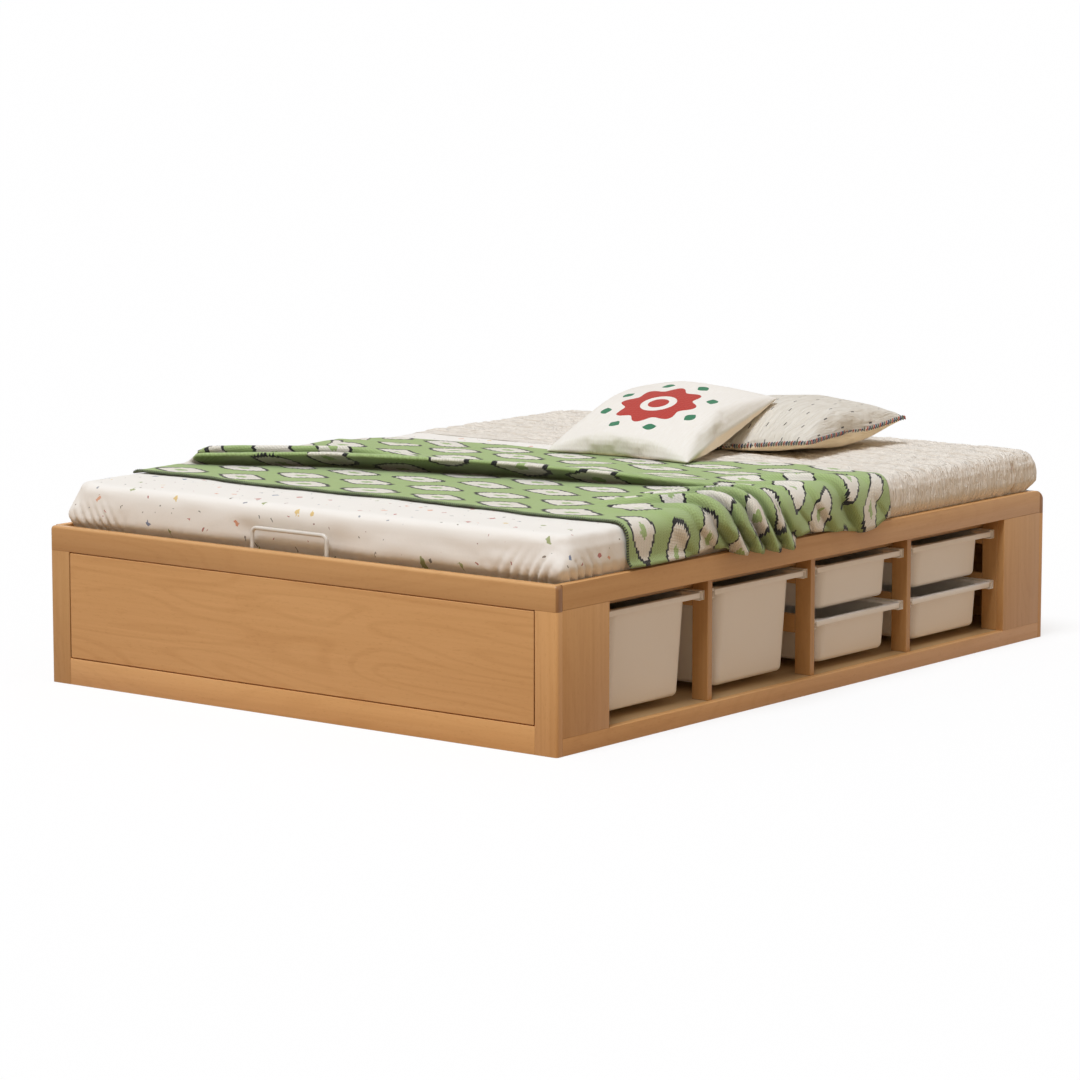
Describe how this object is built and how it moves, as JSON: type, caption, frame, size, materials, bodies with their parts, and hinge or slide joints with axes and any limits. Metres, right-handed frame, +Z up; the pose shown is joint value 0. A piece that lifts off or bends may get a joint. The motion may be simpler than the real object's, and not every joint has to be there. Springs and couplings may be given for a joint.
{
  "type": "storage platform bed",
  "caption": "Low solid-wood platform bed with pull-out storage bins along one side, a lifting slatted deck with wire handle, mattress and bedding.",
  "frame": {"origin": "on the floor, under the middle of the box", "axes": "+X towards the side with the bins, +Y towards the head end, +Z up"},
  "size_m": [1.56, 2.06, 0.6609],
  "materials": {
    "beech": "oiled solid beech, satin",
    "beech_unseen": "planed beech, sanded and left dry",
    "birch_plywood": "sanded birch plywood",
    "bin_plastic": "moulded, fine matt texture",
    "runner_plastic": "extruded, matt",
    "white_powder_coat": "white powder coat on bent steel rod",
    "zinc_steel": "bright zinc plate",
    "bolt_steel": "zinc plated, turned",
    "black_paint": "black enamel, semi gloss",
    "strut_chrome": "hard chrome, ground",
    "bed_sheet": "woven cotton sheet with sparse coloured flecks",
    "quilted_cotton": "quilted cotton, puckered along the stitching",
    "knitted_throw": null,
    "crinkled_cotton": "crinkled cotton with whip-stitched edge",
    "tufted_linen": "linen with a tufted lattice"
  },
  "bodies": {
    "box": {"back_posts": "beech", "bay_1_runners": "runner_plastic", "bay_2_runners": "runner_plastic", "bay_3_runners": "runner_plastic", "bay_4_runners": "runner_plastic", "bay_back_panel": "birch_plywood", "bay_floor": "birch_plywood", "bracket_bolts": "bolt_steel", "corner_brackets": "zinc_steel", "deck_ledgers": "beech_unseen", "floor_bearers": "beech_unseen", "foot_bottom_rail": "beech", "foot_left_stile": "beech", "foot_panel": "beech", "foot_right_stile": "beech", "foot_top_rail": "beech", "front_posts": "beech", "head_bottom_rail": "beech", "head_left_stile": "beech", "head_panel": "beech", "head_right_stile": "beech", "head_top_rail": "beech", "hinge_plates": "zinc_steel", "left_side_bottom_rail": "beech", "left_side_foot_stile": "beech", "left_side_head_stile": "beech", "left_side_panel": "beech", "left_side_top_rail": "beech", "lower_cross_rails": "beech", "right_side_bottom_rail": "beech", "right_side_foot_stile": "beech", "right_side_head_stile": "beech", "right_side_top_rail": "beech", "storage_floor": "birch_plywood", "strut_base_brackets": "zinc_steel", "upper_cross_rails": "beech"},
    "deck": {"deck_left_rail": "beech_unseen", "deck_right_rail": "beech_unseen", "deck_mid_rails": "beech_unseen", "deck_foot_rail": "beech_unseen", "deck_head_rail": "beech_unseen", "slats": "beech_unseen", "lift_handle": "white_powder_coat", "hinge_arms": "zinc_steel", "strut_top_brackets": "zinc_steel", "mattress": "bed_sheet", "quilted_pad": "quilted_cotton", "throw_blanket": "knitted_throw", "back_pillow": "crinkled_cotton", "front_cushion": "tufted_linen"},
    "tall_bin_1_body": {"tall_bin_1": "bin_plastic"},
    "tall_bin_2_body": {"tall_bin_2": "bin_plastic"},
    "upper_bin_3_body": {"upper_bin_3": "bin_plastic"},
    "lower_bin_3_body": {"lower_bin_3": "bin_plastic"},
    "upper_bin_4_body": {"upper_bin_4": "bin_plastic"},
    "lower_bin_4_body": {"lower_bin_4": "bin_plastic"},
    "left_strut_barrel_body": {"left_strut_barrel": "black_paint"},
    "left_strut_rod_body": {"left_strut_rod": "strut_chrome"},
    "right_strut_barrel_body": {"right_strut_barrel": "black_paint"},
    "right_strut_rod_body": {"right_strut_rod": "strut_chrome"}
  },
  "joints": [
    {"name": "deck_lift", "type": "hinge", "parent": "box", "child": "deck", "pos_m": [0, 1, 0.376], "axis": [-1, 0, 0], "range_deg": [0, 40]},
    {"name": "tall_bin_1_slide", "type": "slide", "parent": "box", "child": "tall_bin_1_body", "axis": [1, 0, 0], "range_m": [0, 0.3]},
    {"name": "tall_bin_2_slide", "type": "slide", "parent": "box", "child": "tall_bin_2_body", "axis": [1, 0, 0], "range_m": [0, 0.3]},
    {"name": "upper_bin_3_slide", "type": "slide", "parent": "box", "child": "upper_bin_3_body", "axis": [1, 0, 0], "range_m": [0, 0.3]},
    {"name": "lower_bin_3_slide", "type": "slide", "parent": "box", "child": "lower_bin_3_body", "axis": [1, 0, 0], "range_m": [0, 0.3]},
    {"name": "upper_bin_4_slide", "type": "slide", "parent": "box", "child": "upper_bin_4_body", "axis": [1, 0, 0], "range_m": [0, 0.3]},
    {"name": "lower_bin_4_slide", "type": "slide", "parent": "box", "child": "lower_bin_4_body", "axis": [1, 0, 0], "range_m": [0, 0.3]},
    {"name": "left_strut_swing", "type": "hinge", "parent": "box", "child": "left_strut_barrel_body", "pos_m": [-0.6976, 0.9, 0.085], "axis": [-1, 0, 0], "range_deg": [0, 22]},
    {"name": "left_strut_extend", "type": "slide", "parent": "left_strut_barrel_body", "child": "left_strut_rod_body", "axis": [0, -0.6959, 0.7181], "range_m": [0, 0.17]},
    {"name": "right_strut_swing", "type": "hinge", "parent": "box", "child": "right_strut_barrel_body", "pos_m": [0.2976, 0.9, 0.085], "axis": [-1, 0, 0], "range_deg": [0, 22]},
    {"name": "right_strut_extend", "type": "slide", "parent": "right_strut_barrel_body", "child": "right_strut_rod_body", "axis": [0, -0.6959, 0.7181], "range_m": [0, 0.17]}
  ],
  "couplings": [
    {"joint": "left_strut_swing", "follows": "deck_lift", "ratio": 0.53777},
    {"joint": "left_strut_extend", "follows": "deck_lift", "m_per_rad": 0.24173},
    {"joint": "right_strut_swing", "follows": "deck_lift", "ratio": 0.53777},
    {"joint": "right_strut_extend", "follows": "deck_lift", "m_per_rad": 0.24173}
  ]
}
